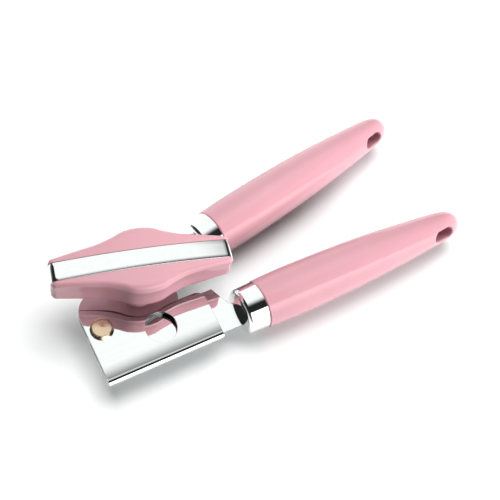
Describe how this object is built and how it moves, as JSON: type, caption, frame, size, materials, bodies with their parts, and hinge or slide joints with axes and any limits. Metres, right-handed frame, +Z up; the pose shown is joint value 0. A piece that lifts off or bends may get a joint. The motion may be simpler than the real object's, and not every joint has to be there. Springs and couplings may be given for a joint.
{
  "type": "manual can opener",
  "caption": "Manual can opener: two steel arms on one rivet, tapered plastic handles, butterfly turning knob, toothed feed gear and free cutting wheel",
  "frame": {"origin": "centre of the bottom of the bounding box, on the surface it lies on", "axes": "+X along the front arm from the head to the handle tip, +Y from the front arm to the back arm, +Z up along the knob's shaft"},
  "size_m": [0.219, 0.0892, 0.0444],
  "materials": {
    "pink_plastic": "glossy moulded plastic",
    "polished_steel": "mirror polished stainless steel",
    "chrome_trim": "bright chrome",
    "brass": "polished brass coloured rivet",
    "tool_steel": "ground hardened steel",
    "zinc_steel": "zinc plated steel"
  },
  "bodies": {
    "front": {"front_arm": "polished_steel", "front_ferrule": "chrome_trim", "front_handle": "pink_plastic", "front_tang_pin": "zinc_steel", "pivot_rivet": "brass", "pivot_washer": "zinc_steel", "cutter_stud": "tool_steel", "cutter_washer": "zinc_steel"},
    "back": {"back_arm": "polished_steel", "back_ferrule": "chrome_trim", "back_handle": "pink_plastic", "back_tang_pin": "zinc_steel", "shaft_bushing": "brass", "thrust_washer": "zinc_steel", "spring_washer": "zinc_steel"},
    "knob": {"knob_body": "pink_plastic", "knob_base": "pink_plastic", "knob_band": "chrome_trim", "knob_insert": "zinc_steel", "knob_screw": "zinc_steel", "drive_shaft": "tool_steel", "feed_gear": "tool_steel", "gear_washer": "zinc_steel", "shaft_nut": "zinc_steel"},
    "cutter": {"cutting_wheel": "tool_steel"}
  },
  "joints": [
    {"name": "arm_pivot", "type": "hinge", "parent": "front", "child": "back", "pos_m": [-0.09307, -0.01368, 0.01425], "axis": [0, 0, 1], "range_deg": [-11.4, 30]},
    {"name": "knob_spin", "type": "hinge", "parent": "back", "child": "knob", "pos_m": [-0.06642, 0.0019, 0.01425], "axis": [0, 0, 1], "continuous": true},
    {"name": "cutter_spin", "type": "hinge", "parent": "front", "child": "cutter", "pos_m": [-0.06677, -0.02408, 0.009], "axis": [0, 0, 1], "continuous": true}
  ]
}
